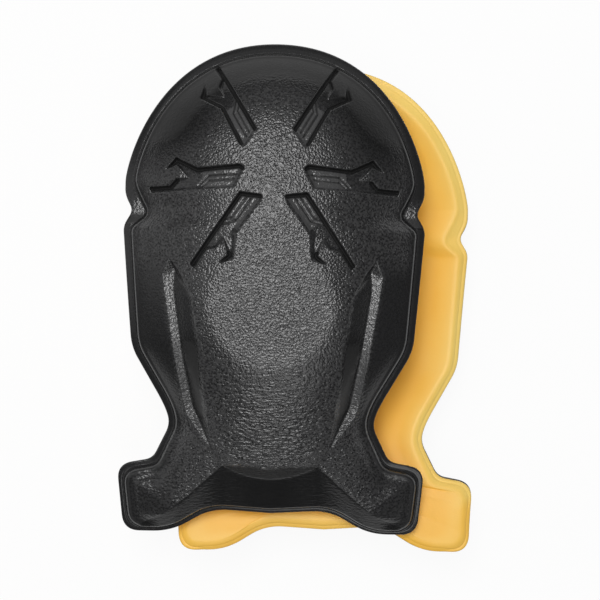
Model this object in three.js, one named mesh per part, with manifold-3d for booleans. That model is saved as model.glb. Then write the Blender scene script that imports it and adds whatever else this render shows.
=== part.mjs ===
// A pair of slip-in knee pads, laid one on the other: the lower pad rests on the flat of its crown with its
// hollow knee side up, and the upper pad lies on it with its crown up. Each pad is a moulded foam shell with
// a softer foam cushion bonded into its hollow side. Millimetres, +Z up, +Y towards the domed head.
import * as THREE from 'three';
import { mergeVertices } from 'three/addons/utils/BufferGeometryUtils.js';
import Module from 'manifold-3d';

const wasm = await Module();
wasm.setup();

// Plan of one pad
const PAD_LENGTH = 245;
const HEAD_WIDTH = 147.2;
const SILL_WIDTH = 148;
const FLANK_WIDTH = 138;
const SHIN_WIDTH = 105.2;
const WAIST_WIDTH = 99.6;
const WING_WIDTH = 152.4;
const WING_END_WIDTH = 146.8;
const NOTCH_DEPTH = 4.2;
const NOTCH_MOUTH = 15.3;
const ARCHED_END_RISE = 10.2;

// Flat rim that both layers share
const SHELL_RIM = 3;
const CUSHION_RIM = 2.6;
const BOND_GAP = 0.3;
const HEAD_RIM = 6;
const SIDE_RIM = 4.6;
const NOTCH_RIM = 7.4;
const FLANK_RIM = 3;
const WING_RIM = 2.6;

// Section of one pad
const END_DROP = 15;
const WALL_HEIGHT = 4.2;
const WALL_DRAFT = 2.5;
const CROWN_RISE = 20.5;
const SHELL_CROWN = 9;
const CUSHION_CROWN = 9;
const CROWN_FLAT = 23.5;
const BOLSTER_DROP = 2.4;
const CREASE_DEPTH = 0.5;

// Relief on the shell
const TONGUE_RAISE = 1.8;
const RECESS_LENGTH = 42;
const RECESS_DEPTH = 1.8;
const BEVEL_STEP = 1;

// The pair as it lies, turns in degrees
const UPPER_TURN = -0.95;
const LOWER_TURN = -0.5;
const PAIR_OFFSET_X = 26.2;
const PAIR_OFFSET_Y = -10.7;
const STACK_GAP = 0.3;

// Cutters reach past what they cut by this much
const OVERRUN = 40;

const DOME_STEPS = 9;
const CORNER_STEPS = 3;
const TONGUE_END_STEPS = 8;

const HALF_LENGTH = PAD_LENGTH / 2;
const HEAD_HALF = HEAD_WIDTH / 2;
const WING_HALF = WING_WIDTH / 2;

// Places along the pad, as shares of its half length, counted up from the middle
const headSideShare = 0.42;
const notchShare = 0.302;
const flankEndShare = -0.245;
const shinShare = -0.4776;
const waistShare = -0.551;
const wingRootShare = -0.6955;
const wingTopShare = -0.7225;
const spineTopShare = 0.571;
const spineFootShare = -0.686;

// Handles of the domed head's curve, as shares of the half width and of the half length
const domeCrownShare = 0.81;
const domeSideShare = 0.07;

// Places across the wings, as shares of their half width
const wingRootWidthShare = 0.768;
const wingHeelShare = 0.65;
const archEndShare = 0.387;

// The arched end is this share of its rise away from the wing tips at its middle and at its ends
const archMiddleShare = 1;
const archShoulderShare = 1.18;

// A corner's rounding reaches no further than this share of either edge
const edgeShare = 0.45;

const notchY = HALF_LENGTH * notchShare;
const halfMouth = NOTCH_MOUTH / 2;
const spineTop = HALF_LENGTH * spineTopShare;
const spineFoot = HALF_LENGTH * spineFootShare;
const wingRootX = WING_HALF * wingRootWidthShare;
const wingRootY = HALF_LENGTH * wingRootShare;
const archShoulderY = ARCHED_END_RISE * archShoulderShare - HALF_LENGTH;
const archMiddleY = ARCHED_END_RISE * archMiddleShare - HALF_LENGTH;

// Corners of the right half of the cut edge, from the notch down to the arched end. inShares say how far
// inside each one the foot of the raised body lies, across and along, and roundShare how far its rounding
// reaches, both as shares of the rim's width there
const corners = [
  { x: HEAD_HALF, y: notchY + halfMouth, rim: SIDE_RIM, inShares: [1.25, -0.45], roundShare: 1.2 },
  { x: HEAD_HALF - NOTCH_DEPTH, y: notchY, rim: NOTCH_RIM, inShares: [1, 0.22], roundShare: 0.4 },
  { x: SILL_WIDTH / 2, y: notchY - halfMouth, rim: FLANK_RIM, inShares: [1.2, 0.3], roundShare: 1 },
  { x: FLANK_WIDTH / 2, y: HALF_LENGTH * flankEndShare, rim: FLANK_RIM, inShares: [1, -0.3], roundShare: 2 },
  { x: SHIN_WIDTH / 2, y: HALF_LENGTH * shinShare, rim: FLANK_RIM, inShares: [1.05, -0.4], roundShare: 2.7 },
  { x: WAIST_WIDTH / 2, y: HALF_LENGTH * waistShare, rim: FLANK_RIM, inShares: [1, 0], roundShare: 1.7 },
  { x: wingRootX, y: wingRootY, rim: WING_RIM, inShares: [0.9, 1], roundShare: 1.5 },
  { x: WING_HALF, y: HALF_LENGTH * wingTopShare, rim: WING_RIM, inShares: [1.1, 1], roundShare: 2.9 },
  { x: WING_END_WIDTH / 2, y: -HALF_LENGTH, rim: WING_RIM, inShares: [1, -0.9], roundShare: 3.1 },
  { x: WING_HALF * wingHeelShare, y: -HALF_LENGTH, rim: WING_RIM, inShares: [-0.3, -0.9], roundShare: 3.5 },
  { x: WING_HALF * archEndShare, y: archShoulderY, rim: WING_RIM, inShares: [-0.3, -1.05], roundShare: 3.5 },
];

function clamp(value, low, high) {
  return Math.min(Math.max(value, low), high);
}

// Points of one rounded corner, on a curve that meets both of its edges
function roundedCorner(before, corner, after) {
  const tip = new THREE.Vector2(corner.x, corner.y);
  const towards = (other) => {
    const edge = new THREE.Vector2(other.x, other.y).sub(tip);
    return edge.setLength(Math.min(corner.reach, edge.length() * edgeShare)).add(tip);
  };
  return new THREE.QuadraticBezierCurve(towards(before), tip, towards(after)).getPoints(CORNER_STEPS);
}

// The right half of an outline: the domed head, the corners, then the middle of the arched end
function halfOutline(crownY, sideX, list, endY) {
  const side = new THREE.Vector2(sideX, HALF_LENGTH * headSideShare);
  const dome = new THREE.CubicBezierCurve(
    new THREE.Vector2(0, crownY),
    new THREE.Vector2(sideX * domeCrownShare, crownY),
    new THREE.Vector2(sideX, side.y + HALF_LENGTH * domeSideShare),
    side,
  );
  const points = dome.getPoints(DOME_STEPS);
  const end = new THREE.Vector2(0, endY);
  list.forEach((corner, index) => {
    const before = list[index - 1] ?? side;
    const after = list[index + 1] ?? end;
    points.push(...roundedCorner(before, corner, after));
  });
  points.push(end);
  return points;
}

// A half outline moved inwards, square to itself, by one distance
function inset(line, distance) {
  return line.map((point, index) => {
    const last = line.length - 1;
    const before = index ? line[index - 1] : new THREE.Vector2(-line[1].x, line[1].y);
    const after = index < last ? line[index + 1] : new THREE.Vector2(-line[last - 1].x, line[last - 1].y);
    const along = after.clone().sub(before).normalize();
    return new THREE.Vector2(point.x + along.y * distance, point.y - along.x * distance);
  });
}

const cutCorners = corners.map(({ x, y, rim, roundShare }) => ({ x, y, reach: rim * roundShare }));
const footCorners = corners.map(({ x, y, rim, inShares, roundShare }) => ({
  x: x - rim * inShares[0],
  y: y - rim * inShares[1],
  reach: rim * roundShare,
}));
const cutLine = halfOutline(HALF_LENGTH, HEAD_HALF, cutCorners, archMiddleY);
const footLine = halfOutline(HALF_LENGTH - HEAD_RIM, HEAD_HALF - SIDE_RIM, footCorners, archMiddleY + WING_RIM);
const shoulderLine = inset(footLine, WALL_DRAFT);

// Heights of the layers above the top of the rim, at the middle of the pad's length
const hollowRise = WALL_HEIGHT + CROWN_RISE - SHELL_CROWN + SHELL_RIM;
const bolsterLevel = -SHELL_RIM - BOND_GAP - CUSHION_RIM - BOLSTER_DROP;
const bowlRise = WALL_HEIGHT + CROWN_RISE - SHELL_CROWN - BOND_GAP - CUSHION_CROWN - bolsterLevel;

// How full each dome is across the pad, and how fast it sinks towards the arched end
const CROWN_FULLNESS = 2.6;
const HOLLOW_FULLNESS = 2;
const BOWL_FULLNESS = 1.8;
const CROWN_SINKING = 1.7;
const HOLLOW_SINKING = 2.2;

// The crown and the wall lose these shares of their height at the arched end, and the hollow and the bowl
// run out at these shares of the half length
const crownLossShare = 0.5;
const wallLossShare = 0.3;
const hollowEndShare = 0.885;
const bowlEndShare = 0.86;

// The pad bends down towards both ends
function bend(y) {
  return -END_DROP * (y / HALF_LENGTH) ** 2;
}

function towardsFoot(y) {
  return clamp(-y / HALF_LENGTH, 0, 1);
}

function wallAt(y) {
  return WALL_HEIGHT * (1 - wallLossShare * towardsFoot(y) ** 2);
}

function crownAt(y) {
  return CROWN_RISE * (1 - crownLossShare * towardsFoot(y) ** CROWN_SINKING);
}

function sunk(rise, endShare, y) {
  return rise * Math.max(1 - (towardsFoot(y) / endShare) ** HOLLOW_SINKING, 0);
}

function domed(inward, fullness) {
  return 1 - (1 - inward) ** fullness;
}

// Height of the crown, of the shell's hollow side and of the cushion's knee side, at a place that lies the
// given share of the way from the shoulder to the spine
function crownLevel(y, inward) {
  return bend(y) + wallAt(y) + crownAt(y) * domed(inward, CROWN_FULLNESS);
}

function hollowLevel(y, inward) {
  return bend(y) - SHELL_RIM + sunk(hollowRise, hollowEndShare, y) * domed(inward, HOLLOW_FULLNESS);
}

function bowlLevel(y, inward) {
  return bend(y) + bolsterLevel + sunk(bowlRise, bowlEndShare, y) * domed(inward, BOWL_FULLNESS);
}

// Rings between the shoulder and the spine, as shares of the way in
const crownRingShares = [0, 0.1, 0.24, 0.4, 0.58, 0.78];
const hollowRingShares = [0, 0.36, 0.74];
const creaseShare = 0.5;

function ring(line, level) {
  return line.map(({ x, y }) => new THREE.Vector3(x, y, level(y)));
}

function innerRing(inward, level) {
  return shoulderLine.map(({ x, y }) => {
    const spineY = clamp(y, spineFoot, spineTop);
    const placeY = y + (spineY - y) * inward;
    return new THREE.Vector3(x * (1 - inward), placeY, level(placeY, inward));
  });
}

function rimRings(level) {
  return [cutLine, footLine].map((line) => ring(line, (y) => bend(y) + level));
}

function crownRings() {
  return [...rimRings(0), ...crownRingShares.map((share) => innerRing(share, crownLevel))];
}

function hollowRings(gap) {
  const level = (y, inward) => hollowLevel(y, inward) - gap;
  return [...rimRings(-SHELL_RIM - gap), ...hollowRingShares.map((share) => innerRing(share, level))];
}

function bowlRings() {
  const lipLevel = bolsterLevel + BOLSTER_DROP;
  const creaseLine = cutLine.map((point, index) => point.clone().lerp(footLine[index], creaseShare));
  return [
    ring(cutLine, (y) => bend(y) + lipLevel),
    ring(creaseLine, (y) => bend(y) + lipLevel + CREASE_DEPTH),
    ring(footLine, (y) => bend(y) + lipLevel - BOLSTER_DROP / 2),
    ...hollowRingShares.map((share) => innerRing(share, bowlLevel)),
  ];
}

// A closed layer between two stacks of rings, both listed from the cut edge inwards
function layer(topRings, underRings) {
  const positions = [];
  const faces = [];
  const last = cutLine.length - 1;
  const around = last * 2;
  const addRing = (points) => {
    const start = positions.length / 3;
    points.forEach(({ x, y, z }) => positions.push(x, y, z));
    points.slice(1, -1).reverse().forEach(({ x, y, z }) => positions.push(-x, y, z));
    return start;
  };
  const band = (outer, inner) => {
    for (let step = 0; step < around; step += 1) {
      const next = (step + 1) % around;
      const [a, b, c, d] = [outer + step, inner + step, inner + next, outer + next];
      if (step < last) faces.push(a, b, c, a, c, d);
      else faces.push(a, b, d, b, c, d);
    }
  };
  const close = (start, up) => {
    for (let step = 0; step < last; step += 1) {
      const right = [start + step, start + step + 1];
      const left = [start + ((around - step) % around), start + around - step - 1];
      const pair = [[left[0], left[1], right[1]], [left[0], right[1], right[0]]];
      pair.filter(([a, b, c]) => a !== b && b !== c && a !== c)
        .forEach(([a, b, c]) => faces.push(...(up ? [a, b, c] : [a, c, b])));
    }
  };
  const top = topRings.map(addRing);
  const under = underRings.map(addRing);
  const strips = [...under.toReversed(), ...top];
  strips.slice(1).forEach((inner, index) => band(strips[index], inner));
  close(top.at(-1), true);
  close(under.at(-1), false);
  const geometry = new THREE.BufferGeometry();
  geometry.setAttribute('position', new THREE.Float32BufferAttribute(positions, 3));
  geometry.setIndex(faces);
  return geometry;
}

function toSolid(geometry) {
  const plain = geometry.clone();
  plain.deleteAttribute('normal');
  plain.deleteAttribute('uv');
  const merged = mergeVertices(plain);
  const mesh = new wasm.Mesh({
    numProp: 3,
    vertProperties: Float32Array.from(merged.getAttribute('position').array),
    triVerts: Uint32Array.from(merged.getIndex().array),
  });
  return new wasm.Manifold(mesh);
}

function toGeometry(solid) {
  const mesh = solid.getMesh();
  const geometry = new THREE.BufferGeometry();
  geometry.setAttribute('position', new THREE.BufferAttribute(Float32Array.from(mesh.vertProperties), 3));
  geometry.setIndex(new THREE.BufferAttribute(Uint32Array.from(mesh.triVerts), 1));
  return geometry;
}

// A closed solid through a row of convex sections with the same number of points
function sectionSolid(sections) {
  const count = sections[0].length;
  const points = sections.flat();
  const faces = [];
  for (let section = 0; section + 1 < sections.length; section += 1) {
    for (let step = 0; step < count; step += 1) {
      const next = (step + 1) % count;
      const [a, b] = [section * count + step, section * count + next];
      faces.push([a, b, b + count], [a, b + count, a + count]);
    }
  }
  const end = points.length - count;
  for (let step = 1; step + 1 < count; step += 1) {
    faces.push([0, step + 1, step], [end, end + step, end + step + 1]);
  }
  const volume = faces.reduce((sum, [a, b, c]) => {
    return sum + points[a].dot(points[b].clone().cross(points[c]));
  }, 0);
  const outward = volume > 0 ? faces : faces.map(([a, b, c]) => [a, c, b]);
  const geometry = new THREE.BufferGeometry();
  geometry.setAttribute('position', new THREE.Float32BufferAttribute(points.flatMap((p) => p.toArray()), 3));
  geometry.setIndex(outward.flat());
  return toSolid(geometry);
}

// A straight-sided cutter or blank over a plan outline
function prism(shape) {
  const geometry = new THREE.ExtrudeGeometry(shape, { depth: OVERRUN * 2, bevelEnabled: false });
  geometry.translate(0, 0, -OVERRUN);
  return toSolid(geometry);
}

// How far in from the shoulder a place lies, as a share of the way to the spine
function inwardAt(x, y) {
  const spine = new THREE.Vector2(0, clamp(y, spineFoot, spineTop));
  const away = new THREE.Vector2(Math.abs(x), y).sub(spine);
  if (away.length() === 0) return 1;
  for (let index = 1; index < shoulderLine.length; index += 1) {
    const start = shoulderLine[index - 1].clone().sub(spine);
    const edge = shoulderLine[index].clone().sub(shoulderLine[index - 1]);
    const turn = away.cross(edge);
    const along = start.cross(away) / turn;
    const reach = start.cross(edge) / turn;
    if (turn !== 0 && along >= 0 && along <= 1 && reach > 0) return clamp(1 - 1 / reach, 0, 1);
  }
  return 0;
}

function surfaceAt(x, y) {
  return crownLevel(y, inwardAt(x, y));
}

// The tongue is raised between the grooves and blends into the domed head
const tongueFadeShares = [0.1, -0.1];

function raiseAt(y) {
  const [start, end] = tongueFadeShares.map((share) => share * HALF_LENGTH);
  return TONGUE_RAISE * THREE.MathUtils.smoothstep(start - y, 0, start - end);
}

// Right side of the tongue's plan, as shares of the head's half width and of the pad's half length
const tongueShares = [
  [0.62, 0.065],
  [0.55, -0.041],
  [0.5, -0.226],
  [0.455, -0.45],
  [0.43, -0.52],
  [0.395, -0.612],
  [0.315, -0.698],
];
const tongueEndShare = -0.815;

function tonguePlan() {
  const right = tongueShares.map(([across, along]) => [across * HEAD_HALF, along * HALF_LENGTH]);
  const shape = new THREE.Shape();
  const [cornerX, cornerY] = right.at(-1);
  shape.moveTo(-cornerX, cornerY);
  shape.quadraticCurveTo(0, tongueEndShare * HALF_LENGTH, cornerX, cornerY);
  right.toReversed().slice(1).forEach(([x, y]) => shape.lineTo(x, y));
  right.slice(0, -1).forEach(([x, y]) => shape.lineTo(-x, y));
  return new THREE.Shape(shape.getPoints(TONGUE_END_STEPS));
}

function tongueBlank() {
  const lift = (rings, height) => rings.map((points) => points.map(({ x, y, z }) => {
    return new THREE.Vector3(x, y, z + height(y));
  }));
  const raised = layer(lift(crownRings(), raiseAt), lift(hollowRings(0), () => SHELL_RIM / 2));
  return toSolid(raised).intersect(prism(tonguePlan()));
}

// Stations of the right side groove: its outer edge, its bottom and its inner crest, as shares of the head's
// half width and of the pad's half length
const grooveShares = [
  { outer: [0.671, 0.112], bottom: [0.662, 0.103], crest: [0.655, 0.098] },
  { outer: [0.715, 0.041], bottom: [0.637, 0.069], crest: [0.602, 0.057] },
  { outer: [0.702, -0.012], bottom: [0.644, -0.012], crest: [0.519, -0.037] },
  { outer: [0.64, -0.241], bottom: [0.586, -0.241], crest: [0.461, -0.239] },
  { outer: [0.575, -0.473], bottom: [0.516, -0.469], crest: [0.421, -0.469] },
  { outer: [0.556, -0.507], bottom: [0.484, -0.511], crest: [0.417, -0.514] },
  { outer: [0.394, -0.633], bottom: [0.386, -0.63], crest: [0.38, -0.628] },
];
const grooveFlareShare = 0.5;

// The groove's outer wall is a ledge, which drops by this share of its width towards the bottom
const ledgeDropShare = 0.08;

function groove(side) {
  const sections = grooveShares.map(({ outer, bottom, crest }) => {
    const [edge, root, top] = [outer, bottom, crest].map(([across, along]) => {
      const [x, y] = [across * HEAD_HALF, along * HALF_LENGTH];
      return new THREE.Vector3(x, y, surfaceAt(x, y));
    });
    root.z = edge.z - Math.hypot(edge.x - root.x, edge.y - root.y) * ledgeDropShare;
    top.z += raiseAt(top.y);
    const [outside, inside] = [edge, top].map((point) => point.clone().lerp(root, -grooveFlareShare));
    const over = inside.z + OVERRUN;
    const section = [root, outside, outside.clone().setZ(over), inside.clone().setZ(over), inside];
    section.forEach((point) => { point.x *= side; });
    return section;
  });
  return sectionSolid(sections);
}

// Ridge of the bevel at the arched end, as shares of the wing's half width and of the pad's half length
const bevelRidgeShares = [
  [0, -0.69],
  [0.16, -0.693],
  [0.305, -0.7],
  [0.436, -0.778],
  [0.53, -0.832],
  [0.625, -0.883],
  [0.748, -0.934],
  [0.86, -0.965],
];
const bevelFlareShare = 1.5;

function footAt(x) {
  const run = footLine.filter((point) => point.y < wingRootY).toReversed();
  const index = run.findIndex((point) => point.x >= x && point.x > 0);
  const [inner, outer] = [run[index - 1], run[index]];
  return inner.y + (outer.y - inner.y) * ((x - inner.x) / (outer.x - inner.x));
}

function bevelCutter() {
  const half = bevelRidgeShares.map(([across, along]) => {
    const [x, ridgeY] = [across * WING_HALF, along * HALF_LENGTH];
    const footY = footAt(x);
    const foot = new THREE.Vector3(x, footY, bend(footY) + BEVEL_STEP);
    const ridge = new THREE.Vector3(x, ridgeY, surfaceAt(x, ridgeY));
    const outside = foot.clone().setY(footY - OVERRUN);
    const inside = foot.clone().lerp(ridge, 1 + bevelFlareShare);
    const over = inside.z + OVERRUN;
    return [outside, foot, inside, inside.clone().setZ(over), outside.clone().setZ(over)];
  });
  const mirrored = half.slice(1).toReversed().map((section) => section.map(({ x, y, z }) => {
    return new THREE.Vector3(-x, y, z);
  }));
  return sectionSolid([...mirrored, ...half]);
}

// Plan of one flex recess, as shares of its length: along its straight edge from the end near the middle of
// the crown, then across from that edge towards the hook
const recessShares = [
  [-0.086, 0.198],
  [0.44, 0.188],
  [0.667, 0.343],
  [0.795, 0.229],
  [0.667, 0.286],
  [0.514, 0.124],
  [0.674, 0.112],
  [0.743, 0.038],
  [0.995, 0.048],
  [0.986, -0.005],
  [0.005, 0.005],
];

// The three recesses of the right side: where the straight edge starts, as shares of the head's half width
// and of the pad's half length, its direction in degrees, the side that the hook is on, and its share of the
// full length
const recesses = [
  { start: [0.125, 0.611], turn: 59.8, hook: -1, lengthShare: 0.96 },
  { start: [0.249, 0.391], turn: -3.6, hook: 1, lengthShare: 1 },
  { start: [0.208, 0.364], turn: -55.7, hook: -1, lengthShare: 1 },
];

function recessPlan({ start, turn, hook, lengthShare }, side) {
  const angle = THREE.MathUtils.degToRad(turn);
  const points = recessShares.map(([out, over]) => {
    const along = out * RECESS_LENGTH * lengthShare;
    const across = over * RECESS_LENGTH * hook;
    const x = start[0] * HEAD_HALF + along * Math.cos(angle) - across * Math.sin(angle);
    const y = start[1] * HALF_LENGTH + along * Math.sin(angle) + across * Math.cos(angle);
    return new THREE.Vector2(x * side, y);
  });
  return new THREE.Shape(points);
}

function shellGeometry() {
  const body = layer(crownRings(), hollowRings(0));
  const recessFloor = toSolid(body.clone().translate(0, 0, -RECESS_DEPTH));
  const above = new THREE.BoxGeometry(PAD_LENGTH * 2, PAD_LENGTH * 2, OVERRUN);
  above.translate(0, 0, CROWN_FLAT + OVERRUN / 2);
  let shell = toSolid(body).subtract(bevelCutter()).add(tongueBlank());
  [-1, 1].forEach((side) => {
    shell = shell.subtract(groove(side));
    recesses.forEach((recess) => {
      shell = shell.subtract(prism(recessPlan(recess, side)).subtract(recessFloor));
    });
  });
  return toGeometry(shell.subtract(toSolid(above)));
}

function cushionGeometry() {
  return layer(hollowRings(BOND_GAP), bowlRings());
}

function foam(name, color, roughness) {
  return new THREE.MeshStandardMaterial({ name, color, roughness, metalness: 0 });
}

function makePad(name, shell, cushion) {
  const pad = new THREE.Group();
  const shellMesh = new THREE.Mesh(shell, foam(`${name}_shell_foam`, 0x2c2c2e, 0.62));
  shellMesh.name = `${name}_shell`;
  const cushionMesh = new THREE.Mesh(cushion, foam(`${name}_cushion_foam`, 0xe9b23c, 0.8));
  cushionMesh.name = `${name}_cushion`;
  pad.add(shellMesh, cushionMesh);
  return pad;
}

// Least height of one cushion over the other, measured straight up from every corner of both
function heightBetween(upper, lower) {
  const ray = new THREE.Raycaster();
  const measure = (from, to, direction) => {
    const places = from.geometry.getAttribute('position');
    let least = Infinity;
    for (let index = 0; index < places.count; index += 1) {
      const place = new THREE.Vector3().fromBufferAttribute(places, index).applyMatrix4(from.matrixWorld);
      const start = place.clone().setZ(-direction * PAD_LENGTH);
      ray.set(start, new THREE.Vector3(0, 0, direction));
      const [hit] = ray.intersectObject(to);
      if (hit) least = Math.min(least, (hit.point.z - place.z) * direction);
    }
    return least;
  };
  return Math.min(measure(lower, upper, 1), measure(upper, lower, -1));
}

const shell = shellGeometry();
const cushion = cushionGeometry();
const upperPad = makePad('front_pad', shell, cushion);
const lowerPad = makePad('rear_pad', shell, cushion);
lowerPad.rotation.set(0, Math.PI, -THREE.MathUtils.degToRad(LOWER_TURN));
lowerPad.position.set(PAIR_OFFSET_X, PAIR_OFFSET_Y, CROWN_FLAT);
upperPad.rotation.z = THREE.MathUtils.degToRad(UPPER_TURN);
upperPad.position.z = PAD_LENGTH / 2;

const pair = new THREE.Group();
pair.add(lowerPad, upperPad);
pair.updateMatrixWorld(true);
upperPad.position.z += STACK_GAP - heightBetween(upperPad.children[1], lowerPad.children[1]);

// The origin is the middle of the pair's footprint, on the surface that it lies on
pair.updateMatrixWorld(true);
const middle = new THREE.Box3().setFromObject(pair, true).getCenter(new THREE.Vector3());
pair.position.set(-middle.x, -middle.y, 0);
pair.updateMatrixWorld(true);

export default pair;
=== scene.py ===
# Looks of a pair of slip-in knee pads. Each pad is a black moulded foam shell with a yellow foam cushion in
# its knee hollow. One shell and one cushion are modelled in a pad's own millimetres, with the crown up and the
# domed head towards +Y, and each is then placed twice, where the frame has its two pads.
import math

import bpy
import numpy as np
from mathutils import Matrix, Vector
from mathutils.geometry import delaunay_2d_cdt
from mathutils.kdtree import KDTree


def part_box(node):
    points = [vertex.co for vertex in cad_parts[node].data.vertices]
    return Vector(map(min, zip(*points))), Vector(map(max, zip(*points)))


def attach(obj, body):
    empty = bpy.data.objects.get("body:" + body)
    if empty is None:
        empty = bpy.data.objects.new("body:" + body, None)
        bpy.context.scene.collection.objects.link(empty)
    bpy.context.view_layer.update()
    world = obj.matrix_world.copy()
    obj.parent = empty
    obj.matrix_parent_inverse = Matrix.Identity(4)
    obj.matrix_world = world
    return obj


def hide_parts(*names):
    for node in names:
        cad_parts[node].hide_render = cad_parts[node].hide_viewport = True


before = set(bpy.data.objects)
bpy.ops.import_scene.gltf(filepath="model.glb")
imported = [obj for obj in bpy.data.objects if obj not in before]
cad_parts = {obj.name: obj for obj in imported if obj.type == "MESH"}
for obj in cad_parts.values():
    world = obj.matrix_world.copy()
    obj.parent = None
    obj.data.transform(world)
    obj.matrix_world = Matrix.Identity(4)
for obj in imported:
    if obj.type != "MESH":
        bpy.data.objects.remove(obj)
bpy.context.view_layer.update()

METRES = 0.001

# Plan of one pad
PAD_LENGTH = 245
HEAD_WIDTH = 147.2
SILL_WIDTH = 148
FLANK_WIDTH = 138
SHIN_WIDTH = 105.2
WAIST_WIDTH = 99.6
WING_WIDTH = 152.4
WING_END_WIDTH = 146.8
NOTCH_DEPTH = 4.2
NOTCH_MOUTH = 15.3
ARCHED_END_RISE = 10.2

# Flat rim that both layers share
SHELL_RIM = 3
CUSHION_RIM = 2.6
BOND_GAP = 0.3
HEAD_RIM = 6
SIDE_RIM = 4.6
NOTCH_RIM = 7.4
FLANK_RIM = 3
WING_RIM = 2.6

# Section of one pad
END_DROP = 15
WALL_HEIGHT = 4.2
WALL_DRAFT = 2.5
CROWN_RISE = 20.5
SHELL_CROWN = 9
CUSHION_CROWN = 9
CROWN_FLAT = 23.5
BOLSTER_DROP = 2.4
CREASE_DEPTH = 0.3
CREASE_INSET = 1.9
CREASE_HALF = 0.4
TRIM = 0.45
# Where and how strongly painted shadow deepens the cushion's tone towards the arched end
END_SHADOW = (-86, -102)
END_SHADOW_DEPTH = 0.55

# Relief on the shell
TONGUE_RAISE = 1.8
TONGUE_FACE = 6
LEDGE_TILT = 0.15
SHALLOW_FLOOR = 1.3
DEEP_FLOOR = 1.9
BEVEL_STEP = 1
BEVEL_DIP = 1.9
END_WALL = 3.4
END_WALL_LOSS = 0.6
FOOT_GRAIN = 0.5
BEVEL_GRAIN = 0.12
SMOOTH_SIDE = 0.82
RIM_GRAIN = 0.1
RIM_BREAK = 0.5
RIM_LEAN = 0.3
RIB_GROOVE_WIDTH = 1.1
RIB_GROOVE_DEPTH = 0.9
FAN_DROP = 0.35
TRENCH_WALL = 1.1
TRENCH_WIDTH = 2.2
TRENCH_DEPTH = 1.9
RAMP_LENGTH = 6.5
RECESS_FADE = 1.4
STRETCH_HEIGHT = 0.22
STRETCH_HALF = 0.5
STRETCH_LINE = np.array([(52.6, 32.5), (50.8, 27), (49.4, 22.2)])
WALL_FACE = 1.2
SHOULDER_SLOPE = 0.6
CROWN_EASE = 0.6
FILLET = 0.5
FINE_FILLET = 0.25

# Turns of the two pads, in degrees
UPPER_TURN = -0.95
LOWER_TURN = -0.5

HALF_LENGTH = PAD_LENGTH / 2
HEAD_HALF = HEAD_WIDTH / 2
WING_HALF = WING_WIDTH / 2
NOTCH_Y = HALF_LENGTH * 0.302
HALF_MOUTH = NOTCH_MOUTH / 2
HEAD_SIDE_SHARE = 0.42
SPINE_TOP = HALF_LENGTH * 0.571
SPINE_FOOT = -HALF_LENGTH * 0.686
WING_ROOT_Y = -HALF_LENGTH * 0.6955
ARCH_SHOULDER_Y = ARCHED_END_RISE * 1.18 - HALF_LENGTH
ARCH_MIDDLE_Y = ARCHED_END_RISE - HALF_LENGTH
DOME_CROWN_SHARE = 0.81
DOME_SIDE_SHARE = 0.07
EDGE_SHARE = 0.45

# How full each dome is, how fast it sinks towards the arched end, and where it runs out
CROWN_FULLNESS = 2.6
HOLLOW_FULLNESS = 2
BOWL_FULLNESS = 1.8
CROWN_SINKING = 1.7
HOLLOW_SINKING = 2.2
CROWN_LOSS = 0.5
WALL_LOSS = 0.3
HOLLOW_END = 0.885
BOWL_END = 0.86

# Corners of the right half of the cut edge: place, rim width, how far in the foot of the body lies across
# and along, and how far the rounding reaches, the last three as shares of the rim's width
CORNERS = [
    (HEAD_HALF, NOTCH_Y + HALF_MOUTH, SIDE_RIM, 1.25, -0.45, 1.2),
    (HEAD_HALF - NOTCH_DEPTH, NOTCH_Y, NOTCH_RIM, 1, 0.22, 0.4),
    (SILL_WIDTH / 2, NOTCH_Y - HALF_MOUTH, FLANK_RIM, 1.2, 0.3, 1),
    (FLANK_WIDTH / 2, -HALF_LENGTH * 0.245, FLANK_RIM, 1, -0.3, 2),
    (SHIN_WIDTH / 2, -HALF_LENGTH * 0.4776, FLANK_RIM, 1.05, -0.4, 2.7),
    (WAIST_WIDTH / 2, -HALF_LENGTH * 0.551, FLANK_RIM, 1, 0, 1.7),
    (WING_HALF * 0.768, WING_ROOT_Y, WING_RIM, 0.9, 1, 1.5),
    (WING_HALF, -HALF_LENGTH * 0.7225, WING_RIM, 1.1, 1, 2.9),
    (WING_END_WIDTH / 2, -HALF_LENGTH, WING_RIM, 1, -0.9, 3.1),
    (WING_HALF * 0.65, -HALF_LENGTH, WING_RIM, -0.3, -0.9, 3.5),
    (WING_HALF * 0.387, ARCH_SHOULDER_Y, WING_RIM, -0.3, -1.05, 3.5),
]

# Heights of the layers above the top of the rim, at the middle of the pad's length
HOLLOW_RISE = WALL_HEIGHT + CROWN_RISE - SHELL_CROWN + SHELL_RIM
BOND_LEVEL = -SHELL_RIM - BOND_GAP
LIP_LEVEL = BOND_LEVEL - CUSHION_RIM
BOLSTER_LEVEL = LIP_LEVEL - BOLSTER_DROP
BOWL_RISE = WALL_HEIGHT + CROWN_RISE - SHELL_CROWN - BOND_GAP - CUSHION_CROWN - BOLSTER_LEVEL

# Where the wings' own shape takes over, going down the pad, and the run of the body's edge that it is measured
# from, in millimetres
WING_BLEND = (-58, -86)
WING_EDGE_TOP = -56
WING_EDGE_END = -112
WING_HEEL = 6

DOME_STEPS = 48
CORNER_STEPS = 10
ARC_STEPS = 40


def smooth_step(share):
    share = np.clip(share, 0, 1)
    return share * share * (3 - 2 * share)


def fade(value, start, end):
    """An eased share, none at the start and all at the end."""
    return smooth_step((value - start) / (end - start))


def unit(rows):
    return rows / np.hypot(rows[:, 0], rows[:, 1])[:, None]


def sideways(rows):
    """Plane vectors turned a quarter to their right."""
    return np.stack([rows[:, 1], -rows[:, 0]], 1)


def cross(a, b):
    """Cross product of plane vectors held in the last axis."""
    return a[..., 0] * b[..., 1] - a[..., 1] * b[..., 0]


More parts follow.
